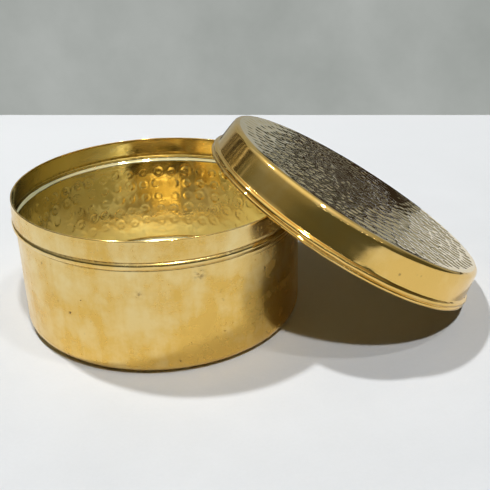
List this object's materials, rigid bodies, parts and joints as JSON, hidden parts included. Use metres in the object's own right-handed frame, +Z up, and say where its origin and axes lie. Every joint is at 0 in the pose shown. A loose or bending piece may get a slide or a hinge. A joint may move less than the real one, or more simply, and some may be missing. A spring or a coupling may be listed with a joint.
{
  "type": "spice box",
  "caption": "Round brass spice box with a stepped neck, a slip-over lid with a hammered top leaning on its rim, and small nesting cups and a spoon inside.",
  "frame": {"origin": "centre of the box's flat underside, on the surface that it stands on", "axes": "+Z up along the axis of the box, +X towards the side where the lid leans, +Y away from the viewer"},
  "size_m": [0.303, 0.197, 0.1186],
  "materials": {
    "box_brass": "satin outside, hammered inside",
    "lid_brass": "satin skirt, bright hammered top",
    "cup_brass": "satin",
    "spoon_brass": "polished"
  },
  "bodies": {
    "box": {"box_body": "box_brass"},
    "lid": {"lid": "lid_brass"},
    "katori_1": {"katori_1": "cup_brass"},
    "katori_2": {"katori_2": "cup_brass"},
    "katori_3": {"katori_3": "cup_brass"},
    "katori_4": {"katori_4": "cup_brass"},
    "katori_5": {"katori_5": "cup_brass"},
    "katori_6": {"katori_6": "cup_brass"},
    "katori_7": {"katori_7": "cup_brass"},
    "spoon": {"spoon": "spoon_brass"}
  },
  "joints": [
    {"name": "lid_lift", "type": "slide", "parent": "box", "child": "lid", "axis": [0, 0, 1], "range_m": [0, 0.12]},
    {"name": "katori_1_lift", "type": "slide", "parent": "box", "child": "katori_1", "axis": [0, 0, 1], "range_m": [0, 0.12]},
    {"name": "katori_2_lift", "type": "slide", "parent": "box", "child": "katori_2", "axis": [0, 0, 1], "range_m": [0, 0.12]},
    {"name": "katori_3_lift", "type": "slide", "parent": "box", "child": "katori_3", "axis": [0, 0, 1], "range_m": [0, 0.12]},
    {"name": "katori_4_lift", "type": "slide", "parent": "box", "child": "katori_4", "axis": [0, 0, 1], "range_m": [0, 0.12]},
    {"name": "katori_5_lift", "type": "slide", "parent": "katori_1", "child": "katori_5", "axis": [0, 0, 1], "range_m": [0, 0.12]},
    {"name": "katori_6_lift", "type": "slide", "parent": "katori_3", "child": "katori_6", "axis": [0, 0, 1], "range_m": [0, 0.12]},
    {"name": "katori_7_lift", "type": "slide", "parent": "katori_4", "child": "katori_7", "axis": [0, 0, 1], "range_m": [0, 0.12]},
    {"name": "spoon_lift", "type": "slide", "parent": "box", "child": "spoon", "axis": [0, 0, 1], "range_m": [0, 0.12]}
  ]
}
